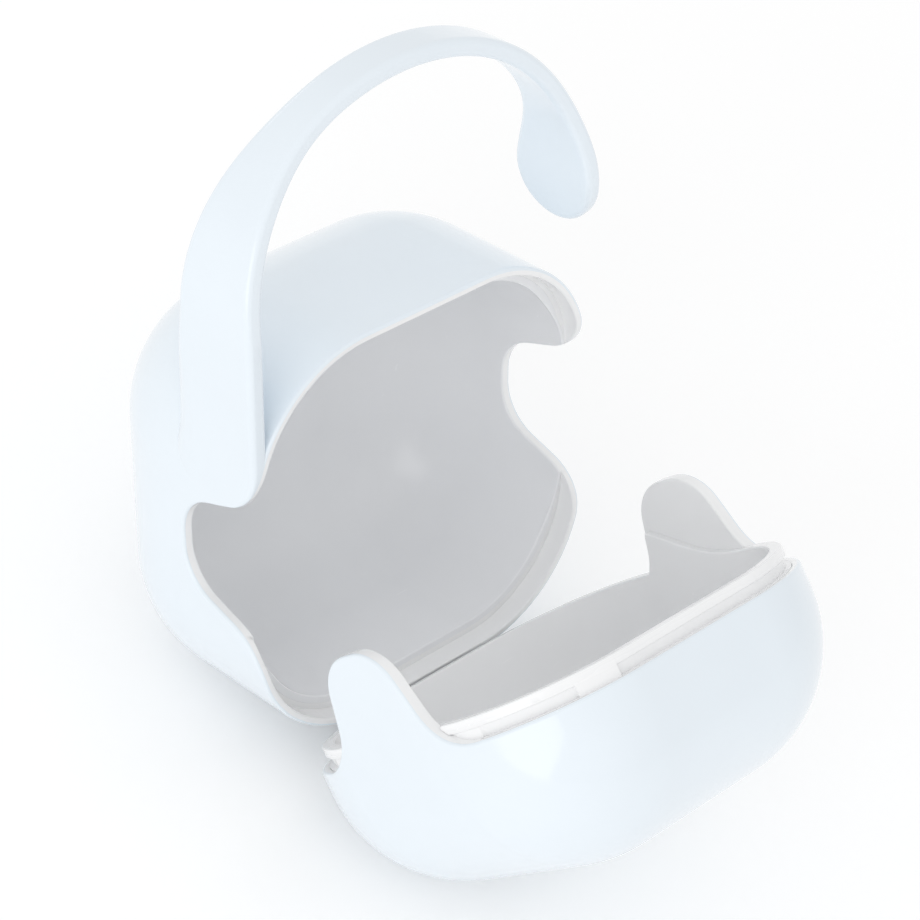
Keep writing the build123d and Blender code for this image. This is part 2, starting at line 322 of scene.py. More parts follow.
class Loop:
    """Columns round the case. Seen from the front the case is a square with round corners: each
    column has a foot on the inner square and a unit normal, and stands at foot + normal * radius.
    A corner has its columns closer together up to where the ears end."""

    FLANK, LEVEL, NEAR, FAR = 72, 20, 34, 42  # columns along each stretch
    STEP = 0.004  # angle between the two columns at each end of the catch and the bead
    STEEPEST = 0.9  # sine of the largest angle up to which a corner's columns are close together

    def __init__(self, size, ears):
        radius = size.corner_radius - size.rim_wall
        square = size.width / 2 - size.corner_radius
        low_square = size.height / 2 - size.corner_radius
        near = math.asin(min(self.STEEPEST, (ears.foot_half + ears.foot_radius - low_square) / radius))
        stops = [math.acos((abs(x) - square) / radius) for x in (*size.catch, size.bead_relief)]
        turn = np.unique(np.concatenate([
            np.linspace(0, near, self.NEAR), np.linspace(near, QUARTER, self.FAR),
            np.subtract(stops, self.STEP), np.add(stops, self.STEP),
        ]))
        across, up = np.cos(turn), np.sin(turn)
        flank = np.linspace(-1, 1, self.FLANK)[1:-1]
        level = np.linspace(-1, 1, self.LEVEL)[1:-1]
        stretches = [
            (square, flank * low_square, 1, 0),
            (square, low_square, across, up),
            (-level * square, low_square, 0, 1),
            (-square, low_square, -across[::-1], up[::-1]),
        ]
        half = np.concatenate([np.stack(np.broadcast_arrays(*stretch)) for stretch in stretches], 1)
        self.foot_x, self.foot_z, self.normal_x, self.normal_z = np.concatenate([half, -half], 1)
        self.count = len(self.foot_x)

    def place(self, radius, foot_share=1.0):
        """X and Z of every column at a radius from the inner square, or from a share of it."""
        return self.foot_x * foot_share + self.normal_x * radius, self.foot_z * foot_share + self.normal_z * radius


class Bell:
    """The outline of an ear: Y over Z is a flat top, a round shoulder, a straight flank and a round
    foot on the rim, whose Y is base. Moving the whole outline by grow keeps it parallel to itself."""

    def __init__(self, ears, base=0.0):
        self.centre, self.base, self.height = ears.centre, base, ears.height - base
        self.foot_half, self.foot_radius, self.top_radius = ears.foot_half, ears.foot_radius, ears.top_radius
        self.slope = math.atan2(self.height, ears.foot_half - ears.top_half)
        self.end = ears.foot_half + ears.foot_radius * math.tan(self.slope / 2)

    def height_at(self, z, grow, base_grow):
        """Y of the outline at z, moved out by grow, on a rim that is moved by base_grow."""
        s, c = math.sin(self.slope), math.cos(self.slope)
        z = np.abs(z - self.centre)
        foot = self.foot_half + grow / s
        base = self.base + base_grow
        top = self.base + self.height + grow
        top_r, foot_r = self.top_radius + grow, self.foot_radius - grow
        top_mid = foot - (top_r + c * (top - top_r - self.base)) / s
        foot_mid = foot + (foot_r - c * (base + foot_r - self.base)) / s
        shoulder = top - top_r + np.sqrt(np.maximum(top_r ** 2 - (z - top_mid) ** 2, 0))
        flank = self.base + (foot - z) * math.tan(self.slope)
        toe = base + foot_r - np.sqrt(np.maximum(foot_r ** 2 - (z - foot_mid) ** 2, 0))
        zones = [z <= top_mid, z <= top_mid + top_r * s, z <= foot_mid - foot_r * s, z <= foot_mid]
        return np.select(zones, [top + z * 0, shoulder, flank, toe], base)


def smooth(t):
    """0 to 1 with level ends."""
    t = np.clip(t, 0, 1)
    return t * t * (3 - 2 * t)


class HalfShell:
    """Rows of points that run from the middle of a half's outside, over the rim, to the middle of
    its inside. A row is a loop at a radius from the inner square: corner_radius minus its depth.
    back is Y of the half's flat end, so it is positive for the body and negative for the lid."""

    FLAT = (0.0, 0.25, 0.5, 0.75, 0.93)  # rows on the flat end, as shares of the inner square
    DOME = 29  # rows over the rounded end
    CROWDING = 1.5  # above 1 the rows up the straight side come closer together towards its end
    ROUNDS = 4  # in which the depth of a row is settled

    def __init__(self, scene, back):
        self.size, self.ears = scene.case_sizes, scene.case_ears
        self.loop = Loop(self.size, self.ears)
        self.way = 1 if back > 0 else -1
        self.bell = Bell(self.ears, min(0, self.way) * self.size.rim_gap)
        self.back, self.shoulder = back, back - self.way * self.size.corner_radius
        self.rows, self.edges, self.painted_inner_lights = [], [], []
        self.painted_inner_light = 0.0

    def add(self, x, y, z, edge=0.0):
        """A row of points, with its share of rub and whether it takes the inner colour, which is painted light."""
        self.rows.append(np.stack(np.broadcast_arrays(x, y, z), -1))
        self.edges.append(np.broadcast_to(np.asarray(edge, float), self.loop.count))
        self.painted_inner_lights.append(np.full(self.loop.count, self.painted_inner_light))

    def place(self, depth):
        """X and Z of every column at a depth below the outer surface."""
        return self.loop.place(self.size.corner_radius - depth)

    def rim(self, z, back=0.0):
        """Y of the half's own edge, which keeps the clearance from the ear's outline."""
        return self.bell.height_at(z, self.way * (self.ears.clearance + back), self.way * back)

    def at(self, depth, outline, edge=0.0):
        """A row at a depth below the outer surface. outline gives Y for the row's own Z."""
        x, z = self.place(depth)
        self.add(x, outline(z), z, edge)

    def bowl(self, depth, outline, inward=False, count=16):
        """The rounded end, which is a flat square and a quarter turn of the section, and the
        straight side up to an outline. Where the wall changes, depth is a function of Y and Z: each
        row starts from the depth at the end's middle and is settled in a few rounds."""
        depth_at = depth if callable(depth) else lambda y, z: depth
        radius = self.size.corner_radius - depth_at(self.back, 0 * self.loop.foot_z)
        rows = []
        for flat in self.FLAT:
            x, z = self.loop.place(0, flat)
            rows.append((x, self.shoulder + self.way * radius, z))
        up_the_side = 1 - (1 - np.linspace(0, 1, count + 1)[1:-1]) ** self.CROWDING
        for turn, step in [(turn, 0) for turn in np.linspace(QUARTER, 0, self.DOME)] + [(0, s) for s in up_the_side]:
            reach = radius
            for _ in range(self.ROUNDS):
                x, z = self.loop.place(reach * math.cos(turn))
                y = self.shoulder + self.way * reach * math.sin(turn)
                y = y + (outline(z) - y) * step
                reach = self.size.corner_radius - depth_at(y, z)
            rows.append((x, y, z))
        for row in reversed(rows) if inward else rows:
            self.add(*row)

    def corner(self, depth, round_by, outline, outer, count=5, worn=1):
        """A rounded edge. outline takes Z and how far the row stands back from the edge, and worn
        is the share of rub on it."""
        for turn in np.linspace(0, QUARTER, count + 1)[::1 if outer else -1]:
            inset = round_by * (1 - math.cos(turn)) * (1 if outer else -1)
            back = round_by * (1 - math.sin(turn))
            self.at(depth + inset, lambda z: outline(z, back), worn * math.sin(2 * turn))

    def outside(self, count, inner_round):
        """The outer face and the rim of a shell, whose two edges are rounded."""
        size = self.size
        self.bowl(0, lambda z: self.rim(z, size.edge), count=count)
        self.corner(0, size.edge, self.rim, outer=True)
        # From here on the rows take the inner colour, which is painted light.
        self.painted_inner_light = 1.0
        self.at(size.edge + size.hairline, self.rim)
        self.corner(size.rim_wall, inner_round, self.rim, outer=False, count=4)

    def piece(self, name, scene, on_lid, kind):
        """The rows as one closed piece."""
        points = np.concatenate(self.rows)
        faces = tube_faces(len(self.rows), self.loop.count)
        return new_piece(name, points, faces, scene, on_lid, kind, np.stack(self.edges), np.stack(self.painted_inner_lights))


def body_walls(scene):
    """Depths of the inner faces of the body's shell and liner, as functions of Y and Z. The liner
    thins out towards a notch: the share depends on r, which is 1 on an ellipse about as large as the
    notch. The shell gives way where the two are thin together."""
    size, ears = scene.case_sizes, scene.case_ears
    full = size.shell_wall + size.liner_gap + size.liner_wall

    def liner_inside(y, z):
        r = np.hypot((z - ears.centre) / ears.foot_half, y / ears.height)
        return full - (full - size.notch_wall) * (1 - smooth((r - ears.thin_reach) / ears.thin_fade))

    def shell_inside(y, z):
        return np.minimum(size.shell_wall, liner_inside(y, z) - size.thin_edge - size.hairline)

    return shell_inside, liner_inside


def make_body_shell(scene):
    """The body's outer moulding: a rounded box, open at the rim, with a rabbet round the rim and a
    bell-shaped notch in each flank, all as rows over one loop."""
    size = scene.case_sizes
    shell = HalfShell(scene, size.body_depth)
    inside = body_walls(scene)[0]

    def rabbet(z):
        return np.maximum(size.rabbet_depth, shell.rim(z))

    edge_z = shell.place(size.rim_wall)[1]
    in_notch = np.clip((shell.rim(edge_z) - size.notch_from) / size.notch_over, 0, 1)
    shell.outside(12, size.soft_edge * (1 - in_notch))
    shell.at(size.rim_wall, rabbet)
    shell.at(inside(rabbet(edge_z), edge_z), rabbet)
    shell.bowl(inside, rabbet, inward=True)
    finish(shell.piece("body_shell_skin", scene, False, "shell"), "body_shell", "body")


def make_body_liner(scene):
    """The body's inner cup. Its rounded edge lies in the rabbet, and thins out beside the notches."""
    size = scene.case_sizes
    cup = HalfShell(scene, size.body_depth)
    shell_inside, inner = body_walls(scene)
    edge = size.soft_edge

    def outer(y, z):
        return shell_inside(y, z) + size.hairline

    def brim(z, back=0.0):
        return np.maximum(size.rabbet_depth + back, cup.rim(z, back)) + size.hairline

    edge_z = cup.place(size.rim_wall)[1]
    cup.bowl(outer, brim)
    cup.at(outer(brim(edge_z), edge_z), brim)
    cup.corner(inner(brim(edge_z), edge_z), edge, brim, outer=False, count=4)
    cup.bowl(inner, lambda z: brim(z, edge), inward=True)
    finish(cup.piece("body_liner_cup", scene, False, "liner"), "body_liner", "body")


def make_lid_shell(scene):
    """The lid's outer moulding: a shallow rounded box with a bell-shaped ear on each flank. Beside
    the lip its wall is thinner, under the ears it keeps its full thickness."""
    size = scene.case_sizes
    shell = HalfShell(scene, -size.lid_depth)
    edge = size.soft_edge
    in_ear = np.abs(shell.place(size.rim_wall)[1] - shell.bell.centre) < shell.bell.end

    def seat(z, back=0.0):
        return np.where(in_ear, shell.rim(z, back), -size.rim_gap - size.flange_depth - back)

    shell.outside(16, np.where(in_ear, 0, edge))
    shell.at(size.rim_wall, seat)
    shell.corner(size.shell_wall, edge, seat, outer=False, count=4)
    shell.bowl(size.shell_wall, lambda z: seat(z, edge), inward=True)
    finish(shell.piece("lid_shell_skin", scene, True, "shell"), "lid_shell", "lid")


def make_lid_liner(scene):
    """The lid's inner cup with the lip: a flange in the lid's rim, a groove, a snap bead, and a crest
    that falls in a curve behind each ear. Under an ear's outline only the crest is left."""
    size, ears = scene.case_sizes, scene.case_ears
    cup = HalfShell(scene, -size.lid_depth)
    ear = cup.bell
    crest_z = np.array([*ears.crest_place])
    crest_y = np.array([*ears.crest_height, size.lip_height])
    outer = size.shell_wall + size.hairline
    inner = size.shell_wall + size.liner_gap + size.liner_wall
    close = size.shell_wall - size.liner_gap
    bead_depth = size.rim_wall + size.bead_clearance
    groove_depth = bead_depth + size.groove_step
    seam = size.rim_wall + size.hairline
    rim, edge = -size.rim_gap, size.soft_edge
    chamfer = 0.4 * edge  # of the flange's corner in the rim
    foot_round = 0.35  # of the bead's foot, as a share of the groove's depth
    rim_x, rim_z = cup.place(size.rim_wall)
    under = ear.height_at(rim_z, 0, 0)
    no_lip = under >= size.lip_height - edge
    in_ear = np.abs(rim_z - ears.centre) < ear.end
    catch = (rim_x > size.catch[0]) & (rim_x < size.catch[1]) & (rim_z > 0)
    relief = (np.abs(rim_x) < size.bead_relief) & (rim_z < -size.height / 4)
    groove = np.where(no_lip, close, np.where(catch, bead_depth, groove_depth))
    bead = np.where(no_lip, close, np.where(relief, groove_depth, bead_depth))
    flange = np.where(in_ear, np.where(no_lip, close, groove), seam)
    foot = np.where(in_ear, under, rim - size.flange_depth + size.liner_gap)

    def crest(z, back=0.0):
        """Along the ear a smooth curve that runs on straight towards the hinge, under the ear's edge."""
        rise = through(crest_z, crest_y, np.clip(z, crest_z[0], crest_z[-1]), (ears.crest_slope, 0))
        rise = rise + ears.crest_slope * np.minimum(z - crest_z[0], 0)
        return np.maximum(np.minimum(rise, ear.height_at(z, -size.rim_wall, 0)), size.lip_height) - back

    def top(z, back):
        """The crest, which beside an ear stays above the ear's outline while it is rounded."""
        height = crest(z, back)
        return np.where(no_lip, height, np.maximum(height, np.minimum(under, size.lip_height)))

    def under_crest(z):
        return np.minimum(foot, crest(z))

    def over_ear(height):
        """Y of a row of the lip, kept above the ear's outline and below the crest."""
        return lambda z: np.minimum(np.maximum(height, ear.height_at(z, 0, 0)), crest(z))

    cup.bowl(outer, under_crest, count=10)
    for depth, outline in (
        (outer, under_crest),
        (flange, under_crest),
        (flange, over_ear(rim - chamfer)),
        (flange + np.where(in_ear, 0, chamfer), over_ear(rim)),
        (groove + np.where(in_ear | catch, 0, size.undercut), over_ear(rim)),
        (groove, over_ear(size.bead_foot)),
        (bead + foot_round * (groove - bead), over_ear(size.bead_foot)),
    ):
        cup.at(depth, outline)
    cup.at(bead, over_ear(size.bead_foot + foot_round * size.groove_step), np.where(no_lip, 0, BEAD_WEAR))
    cup.corner(bead, np.where(no_lip, 0, edge), top, outer=True, worn=~no_lip)
    cup.corner(inner, edge, crest, outer=False)
    cup.bowl(inner, lambda z: crest(z, edge), inward=True, count=12)
    finish(cup.piece("lid_liner_cup", scene, True, "lip"), "lid_liner", "lid")


# Carrying hook

def through(knots, values, at, end_slopes):
    """A smooth curve through a few points: a cubic spline with given slopes at both ends. The inner
    slopes are those that make its bend continuous."""
    h, rise, last = np.diff(knots), np.diff(values), len(knots) - 1
    rows, right = np.eye(last + 1), np.zeros(last + 1)
    right[[0, last]] = end_slopes
    for i in range(1, last):
        rows[i, i - 1:i + 2] = 1 / h[i - 1], 2 / h[i - 1] + 2 / h[i], 1 / h[i]
        right[i] = 3 * (rise[i - 1] / h[i - 1] ** 2 + rise[i] / h[i] ** 2)
    slopes = np.linalg.solve(rows, right)
    k = np.clip(np.searchsorted(knots, at) - 1, 0, last - 1)
    t = np.clip((at - knots[k]) / h[k], 0, 1)
    a, b, m, n = values[k], values[k + 1], slopes[k] * h[k], slopes[k + 1] * h[k]
    return a * (1 + 2 * t) * (1 - t) ** 2 + m * t * (1 - t) ** 2 + b * t * t * (3 - 2 * t) + n * t * t * (t - 1)


def strap_edges(hook, height, on_leg):
    """Y of the strap's front and back edges at a height of its middle line."""
    crown = hook.spring + hook.rise - hook.crown_length
    if on_leg:
        knots = np.array([*hook.leg_height, crown])
        front = through(knots, np.array([*hook.leg_front, hook.middle - hook.crown_half]), height, (0, 0))
        back = through(knots, np.array([*hook.leg_back, hook.middle + hook.crown_half]), height, (hook.root_slope, 0))
        return front, back + hook.root_slope * min(height - knots[0], 0)
    knots = np.array([hook.paddle_height, hook.wrist_height, crown])
    half = through(knots, np.array([hook.paddle_half, hook.wrist_half, hook.crown_half]), height, (0, 0))
    return hook.middle - half, hook.middle + half


class Strap:
    """The strap's section, as points round it: the outer face from front to back, the back edge, the
    inner face and the front edge. A point stands at middle + spread * (half width - fall) across the
    strap, and at lift from the middle of its thickness."""

    FACE, EDGE = 17, 14  # points over a face and round an edge
    LEG, ARCH, WRIST, TIP = 60, 97, 5, 25  # sections along each stretch

    def __init__(self, hook):
        self.half_thick = hook.thick / 2
        across = np.linspace(-1, 1, self.FACE)
        self.turn = np.linspace(0, math.pi, self.EDGE)
        level = np.sign(np.cos(self.turn)) * (self.half_thick - hook.edge) + hook.edge * np.cos(self.turn)
        sides = np.ones(len(self.turn))
        flat = np.ones(len(across))
        round_off = hook.edge * (1 - np.sin(self.turn))
        self.spread = np.concatenate([across, sides, -across, -sides])
        self.fall = np.concatenate([flat * hook.edge, round_off] * 2)
        self.lift = np.concatenate([flat * self.half_thick, level, -flat * self.half_thick, -level])
        self.outer_face = slice(0, len(across))
        self.back_edge = slice(len(across), len(across) + len(self.turn))
        self.wear = np.where(np.abs(self.spread) < 1, 0, STRAP_WEAR)

    def across(self, front, back):
        """Y of every point of a section between two edges."""
        return (front + back) / 2 + self.spread * ((back - front) / 2 - self.fall)


def leg_row(size, hook, strap, notch_at, z):
    """One level section of the leg. Down the body's corner it sinks into the wall: its front
    follows the notch, its thickness stays within the wall, and its back edge is rounded more."""
    front, back = strap_edges(hook, z, True)
    front = max(front, notch_at(z) + hook.sunk)
    over = max(z - (size.height / 2 - size.corner_radius), 0)
    inside = size.corner_radius - size.rim_wall
    wall = size.corner_radius - math.sqrt(max(inside ** 2 - over ** 2, 0))
    thick = min(hook.thick, wall - size.bead_clearance)
    depth = (strap.half_thick - strap.lift) * thick / hook.thick + hook.sunk
    y = strap.across(front, back)

    low, high = hook.soft_range
    softened = smooth((high - z) / (high - low))
    wide = hook.edge + (hook.soft_back - hook.edge) * softened
    deep = hook.edge + (thick * hook.soft_depth - hook.edge) * softened
    upper, edge = strap.turn < QUARTER, strap.back_edge
    y[strap.outer_face] -= (wide - hook.edge) * (1 + strap.spread[strap.outer_face]) / 2
    y[edge] = np.where(upper, back - wide * (1 - np.sin(strap.turn)), y[edge])
    soft_depth = deep * (1 - np.cos(strap.turn))
    depth[edge] = np.where(upper, hook.sunk + soft_depth, np.maximum(depth[edge], hook.sunk + deep))
    return np.stack([depth - size.width / 2, y, np.full_like(y, z)], -1)


def make_hook(scene):
    """The carrying hook: sections with rounded edges are carried along the leg, the half-elliptic
    arch and the flared end. Near the tip the section narrows so that the paddle ends in a half circle."""
    size, hook, ears = scene.case_sizes, scene.case_hook, scene.case_ears
    strap = Strap(hook)
    bell = Bell(ears)
    middle = hook.half_span - size.width / 2
    start = size.height / 2 - size.corner_radius

    def notch_at(z):
        return float(bell.height_at(z, ears.clearance, 0))

    rows = [leg_row(size, hook, strap, notch_at, z) for z in np.linspace(start, hook.spring, strap.LEG)[:-1]]
    for angle in np.linspace(math.pi, 0, strap.ARCH):
        direction = np.array([math.cos(angle), math.sin(angle)])
        outer = direction * (hook.half_span, hook.rise)
        inner = direction * (hook.half_span - hook.thick, hook.rise - hook.thick)
        mid = (outer + inner) / 2 + (middle, hook.spring)
        out = (outer - inner) / 2 / strap.half_thick
        y = strap.across(*strap_edges(hook, mid[1], angle > QUARTER))
        rows.append(np.stack([mid[0] + out[0] * strap.lift, y, mid[1] + out[1] * strap.lift], -1))

    def flared(height, y):
        """A row of the outward curve below the arch, at the given heights of its middle line."""
        sweep = np.arcsin((hook.spring - height) / hook.flare_radius)
        radius = hook.flare_radius - strap.lift
        x = middle + hook.half_span - strap.half_thick + hook.flare_radius - radius * np.cos(sweep)
        return np.stack([x, y, hook.spring - radius * np.sin(sweep)], -1)

    for z in np.linspace(hook.spring, hook.paddle_height, strap.WRIST)[1:-1]:
        rows.append(flared(z, strap.across(*strap_edges(hook, z, False))))
    reach = hook.paddle_half - strap.fall
    for angle in np.linspace(0, QUARTER, strap.TIP):
        y = hook.middle + strap.spread * reach * math.cos(angle)
        rows.append(flared(hook.paddle_height - reach * math.sin(angle), y))
    root = np.broadcast_to(rows[0].mean(0), rows[0].shape)
    points = np.stack([root, *rows])
    wear = np.broadcast_to(strap.wear, points.shape[:2])
    faces = tube_faces(*points.shape[:2])
    finish(new_piece("carrying_hook", points.reshape(-1, 3), faces, scene, False, "shell", wear), "body_shell", "body")


# Hinge

EDGE_ROWS = 4  # round the edge of a bar's end
HALF_ROUND = 24  # steps round half a barrel


def prism(outline, x_low, x_high, edge, bore=0.0, centre=(0, 0), bore_depth=0.0):
    """A bar along X with a given outline in Y and Z and rounded ends. With a bore it has a blind
    round hole in its low end."""
    along = np.roll(outline, -1, 0) - np.roll(outline, 1, 0)
    along /= np.linalg.norm(along, axis=1, keepdims=True)
    inward = np.stack([-along[:, 1], along[:, 0]], -1)
    y, z = outline.T
    inward *= np.sign(np.sum(y * np.roll(z, -1) - np.roll(y, -1) * z))
    if bore:
        away = outline - centre
        hole = centre + bore * away / np.linalg.norm(away, axis=1, keepdims=True)
        rows = [(x_low + bore_depth, np.broadcast_to(centre, outline.shape)), (x_low + bore_depth, hole), (x_low, hole)]
    else:
        rows = [(x_low, np.broadcast_to(outline.mean(0), outline.shape))]
    turns = np.linspace(0, QUARTER, EDGE_ROWS)
    for end, way, order in ((x_low, 1, turns[::-1]), (x_high, -1, turns)):
        for turn in order:
            rows.append((end + way * edge * (1 - math.cos(turn)), outline + inward * edge * (1 - math.sin(turn))))
    rows.append((x_high, np.broadcast_to(outline.mean(0), outline.shape)))
    return np.stack([np.column_stack([np.full(len(o), x), o]) for x, o in rows])


def joined_prisms(name, scene, prisms, on_lid, body, replaced):
    """Several bars as one moulded piece."""
    faces, first = [], 0
    for rows, columns, _ in (bar.shape for bar in prisms):
        faces.append(tube_faces(rows, columns, first))
        first += rows * columns
    points = np.concatenate([bar.reshape(-1, 3) for bar in prisms])
    finish(new_piece(name, points, np.concatenate(faces), scene, on_lid, "shell"), replaced, body)


def polygon(corners, per_side=6):
    """A closed outline with evenly spaced points along each straight side."""
    corners = np.array(corners)
    after = np.roll(corners, -1, 0)
    step = np.linspace(0, 1, per_side + 1)[:-1]
    return (corners[:, None] + (after - corners)[:, None] * step[None, :, None]).reshape(-1, 2)


def make_knuckles(scene):
    """Two knuckles of the body and the lid's middle knuckle with its arm and stop heel."""
    size, hinge = scene.case_sizes, scene.case_hinge
    y0, z0 = hinge.set_back, -size.height / 2 - hinge.drop
    r = hinge.barrel
    web_top = -size.height / 2 + size.rim_wall / 2
    lower = np.linspace(math.pi, 2 * math.pi, HALF_ROUND + 1)
    round_end = np.stack([y0 + r * np.cos(lower), z0 + r * np.sin(lower)], -1)
    web = polygon([(y0 + r, z0), (y0 + r, web_top), (y0 - r, web_top), (y0 - r, z0)])[1:]
    outline = np.concatenate([round_end, web[web[:, 1] > z0 + WELD]])
    inner = hinge.lid_half + hinge.gap
    outer = inner + hinge.body_length
    open_end = prism(outline, -outer, -inner, hinge.edge, hinge.bore, (y0, z0), hinge.bore_depth)
    blind_end = prism(outline, inner, outer, hinge.edge)
    joined_prisms("body_knuckles", scene, [open_end, blind_end], False, "body", "body_shell")

    around = np.linspace(0, 2 * math.pi, 2 * HALF_ROUND + 1)[:-1]
    barrel = np.stack([y0 + r * np.cos(around), z0 + r * np.sin(around)], -1)
    bottom, rim = -size.height / 2, -size.rim_gap
    under, inside, low = bottom - hinge.under_gap, bottom + hinge.arm_embed, z0 - r
    arm = polygon([
        (y0, low), (y0, under), (rim, under), (rim, inside), (rim - hinge.arm_root, inside),
        (rim - hinge.arm_root, bottom), (rim - hinge.arm_root / 2, (low + under) / 2),
    ])
    flat = hinge.drop - hinge.stop_clearance
    flat_half = math.sqrt(hinge.stop_radius ** 2 - flat ** 2)
    s, c = math.sin(OPEN_ANGLE), math.cos(OPEN_ANGLE)
    foot = (y0 + flat * s, z0 + flat * c)
    toe = (foot[0] + flat_half * c, foot[1] - flat_half * s)
    heel = polygon([(y0, z0), foot, toe, (y0 + r, z0 - r / 2)])
    half = hinge.lid_half
    bars = [
        prism(bar, -half, half, edge)
        for bar, edge in ((barrel, hinge.edge), (arm, hinge.edge / 2), (heel, hinge.heel_edge))
    ]
    joined_prisms("lid_knuckle", scene, bars, True, "lid", "lid_shell")


# Materials

def feed(tree, made, inputs):
    """Gives a node its inputs, as values or as links."""
    for key, value in inputs.items():
        if isinstance(value, bpy.types.NodeSocket):
            tree.links.new(value, made.inputs[key])
        else:
            made.inputs[key].default_value = value
    return made


def node(tree, kind, inputs=None, **settings):
    """A shader node with its settings and inputs."""
    made = tree.nodes.new("ShaderNode" + kind)
    for name, value in settings.items():
        setattr(made, name, value)
    return feed(tree, made, inputs or {})


def maths(tree, operation, *inputs):
    return node(tree, "Math", dict(enumerate(inputs)), operation=operation).outputs[0]


def noise(tree, place, scale, detail, roughness=0.5, distortion=0.0):
    inputs = {"Vector": place, "Scale": scale, "Detail": detail, "Roughness": roughness, "Distortion": distortion}
    return node(tree, "TexNoise", inputs).outputs["Fac"]


def remap(tree, value, low=0.0, high=1.0, to_low=0.0, to_high=1.0):
    inputs = {"Value": value, "From Min": low, "From Max": high, "To Min": to_low, "To Max": to_high}
    return node(tree, "MapRange", inputs).outputs[0]


def stretched(tree, place, scale, rotation=(0, 0, 0)):
    """The place, scaled so that a noise becomes lines."""
    return node(tree, "Mapping", {"Vector": place, "Rotation": rotation, "Scale": scale}).outputs[0]


def scaled(tree, vector, by):
    return node(tree, "VectorMath", {0: vector, 1: by}, operation="MULTIPLY").outputs[0]


def new_material(name):
    material = bpy.data.materials.new(name)
    material.use_nodes = True
    return material, material.node_tree, material.node_tree.nodes["Principled BSDF"]


def moulded_surface():
    """A node group for the skin of moulded plastic: a faint ripple from the tool's polish, fine
    scratches, cloudy tone and a little rubbed wear along the edges that the mesh marks. Faces that the inner mask marks
    take a second colour, which is painted light."""
    if "Moulded surface" in bpy.data.node_groups:
        return bpy.data.node_groups["Moulded surface"]
    group = bpy.data.node_groups.new("Moulded surface", "ShaderNodeTree")
    for name in ("Colour", "Inner painted light colour"):
        group.interface.new_socket(name=name, in_out="INPUT", socket_type="NodeSocketColor")
    shares = {"Tone change": 0.012, "Roughness": 0.2, "Handling": 0.03, "Edge rub": 0.06, "Ripple": 0.1}
    for name, default in shares.items():
        made = group.interface.new_socket(name=name, in_out="INPUT", socket_type="NodeSocketFloat")
        made.default_value, made.min_value, made.max_value = default, 0, 1
    for name, kind in (("Colour", "Color"), ("Roughness", "Float"), ("Normal", "Vector")):
        group.interface.new_socket(name=name, in_out="OUTPUT", socket_type="NodeSocket" + kind)
    given = group.nodes.new("NodeGroupInput").outputs
    place = node(group, "TexCoord").outputs["Object"]
    edge, inner = (node(group, "Attribute", attribute_name=mask).outputs["Fac"] for mask in ("edge", "inner"))

    cloud = remap(group, noise(group, place, 38.0, 3.0, 0.55), 0.3, 0.7, -1.0, 1.0)
    tone = maths(group, "ADD", maths(group, "MULTIPLY", cloud, given["Tone change"]), 1.0)
    # Painted light: outer faces take the blue-tinted colour, inner faces the lighter neutral one.
    side = node(group, "Mix", {"Factor": inner}, data_type="RGBA")
    for name, key in (("Colour", "A"), ("Inner painted light colour", "B")):
        group.links.new(given[name], side.inputs[key])

    handled = remap(group, noise(group, place, 70.0, 5.0, 0.62, 0.4), 0.42, 0.72)
    hair = stretched(group, place, (60.0, 1900.0, 500.0), (0.4, 0.9, 0.3))
    scratch = remap(group, noise(group, hair, 1.0, 2.0), 0.66, 0.74)
    both = maths(group, "MULTIPLY_ADD", scratch, 0.7, handled)
    more = maths(group, "MULTIPLY_ADD", both, given["Handling"], given["Roughness"])

    grain = noise(group, place, 2600.0, 2.0)
    height = maths(group, "MULTIPLY_ADD", grain, 0.05, noise(group, place, 260.0, 1.0, 0.4))
    deep = maths(group, "MULTIPLY_ADD", scratch, -0.02, height)
    feed(group, group.nodes.new("NodeGroupOutput"), {
        "Colour": scaled(group, side.outputs["Result"], tone),
        "Roughness": maths(group, "MULTIPLY_ADD", edge, given["Edge rub"], more),
        "Normal": node(group, "Bump", {"Strength": given["Ripple"], "Distance": 0.00012, "Height": deep}).outputs[0],
    })
    return group


PLASTICS = {  # name, colour, roughness, ripple and weight of the coat
    # The shell's blue tint is painted bluish light.
    "shell": ("Gloss plastic with painted blue light", "shell_and_blue_light_colour", "shell_gloss", 0.10, 0.35),
    "liner": ("White satin plastic", "liner_colour", "liner_gloss", 0.08, 0.1),
    # The lip's lighter colour is painted light.
    "lip": ("Satin plastic, painted lighter", "lip_colour_painted_lighter", "liner_gloss", 0.08, 0.1),
}


def plastic(scene, kind):
    """Glossy moulded plastic, for the outer mouldings, the body's liner or the lid's."""
    name, base, rough, ripple, coat = PLASTICS[kind]
    if name in bpy.data.materials:
        return bpy.data.materials[name]
    choices = scene.case_finish
    material, tree, shader = new_material(name)
    surface = feed(tree, node(tree, "Group", node_tree=moulded_surface()), {
        "Colour": (*getattr(choices, base), 1), "Inner painted light colour": (*choices.inner_painted_light_colour, 1),
        "Roughness": getattr(choices, rough), "Ripple": ripple,
    }).outputs
    feed(tree, shader, {
        "Base Color": surface["Colour"], "Roughness": surface["Roughness"], "Normal": surface["Normal"],
        "IOR": 1.49, "Coat Weight": coat, "Coat Roughness": 0.04,
    })
    return material


def steel(scene):
    """Drawn steel wire: fine lines along X, which is the pin's length."""
    material, tree, shader = new_material("Drawn steel")
    place = node(tree, "TexCoord").outputs["Object"]
    lines = noise(tree, stretched(tree, place, (80.0, 9000.0, 9000.0)), 1.0, 3.0)
    feed(tree, shader, {
        "Base Color": scaled(tree, scene.case_finish.pin_colour, remap(tree, lines, to_low=0.9, to_high=1.05)),
        "Roughness": remap(tree, lines, to_low=0.22, to_high=0.42),
        "Normal": node(tree, "Bump", {"Strength": 0.2, "Distance": 0.00002, "Height": lines}).outputs[0],
        "Metallic": 1.0,
    })
    return material


def finish_pin(scene):
    """The CAD pin keeps its shape and gets its steel."""
    pin = frame["nodes"]["hinge_pin"]
    pin.data.materials.clear()
    pin.data.materials.append(steel(scene))


# Studio

